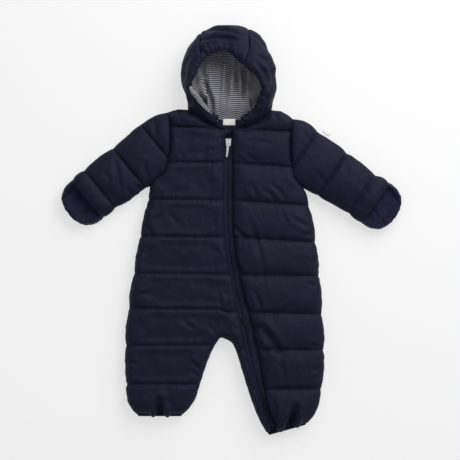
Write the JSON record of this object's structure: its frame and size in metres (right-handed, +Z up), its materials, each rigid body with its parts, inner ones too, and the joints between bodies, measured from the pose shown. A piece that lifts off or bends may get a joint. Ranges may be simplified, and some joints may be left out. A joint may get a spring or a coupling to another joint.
{
  "type": "baby snowsuit",
  "caption": "Quilted padded one-piece baby snowsuit laid flat, with a lined hood, sleeves with open fold-over mitts and a zip that curves from the neck into one leg.",
  "frame": {"origin": "under the middle of the bounding box, on the surface that the suit lies on", "axes": "+Y from the legs to the hood, +Z up out of the front of the suit, +X to the wearer's left"},
  "size_m": [0.5814, 0.7024, 0.067],
  "materials": {
    "shell": "fine woven nylon in dark navy with a soft sheen",
    "brushed_lining": "brushed navy lining of the mitts",
    "jersey_lining": "cotton jersey in fine navy and white stripes",
    "zip_tape": "woven navy tape",
    "zip_coil": "nylon coil in dark navy",
    "slider_silver": "bright plated slider and pull",
    "slider_dark": "slider and pull enamelled in dark navy",
    "label_satin": "bare off-white satin label"
  },
  "bodies": {
    "suit": {"front_right": "shell", "front_left": "shell", "back_right": "shell", "back_left": "shell", "hem_right": "shell", "hem_left": "shell", "sleeve_right": "shell", "sleeve_left": "shell", "mitt_right": "shell", "mitt_left": "shell", "mitt_lining_right": "brushed_lining", "mitt_lining_left": "brushed_lining", "hood_center": "shell", "hood_side_right": "shell", "hood_side_left": "shell", "hood_lining": "jersey_lining", "zip_tape_right": "zip_tape", "zip_tape_left": "zip_tape", "zip_coil": "zip_coil", "slider_top": "slider_silver", "slider_low": "slider_dark", "neck_label": "label_satin", "sleeve_tab": "label_satin"},
    "pull_top": {"pull_top": "slider_silver"},
    "pull_low": {"pull_low": "slider_dark"}
  },
  "joints": [
    {"name": "pull_top_swing", "type": "hinge", "parent": "suit", "child": "pull_top", "pos_m": [-0.00545, 0.1507, 0.02115], "axis": [-1, 0, 0], "range_deg": [0, 150]},
    {"name": "pull_low_swing", "type": "hinge", "parent": "suit", "child": "pull_low", "pos_m": [0.02247, -0.1548, 0.02115], "axis": [0.9773, 0.2119, 0], "range_deg": [0, 150]}
  ]
}
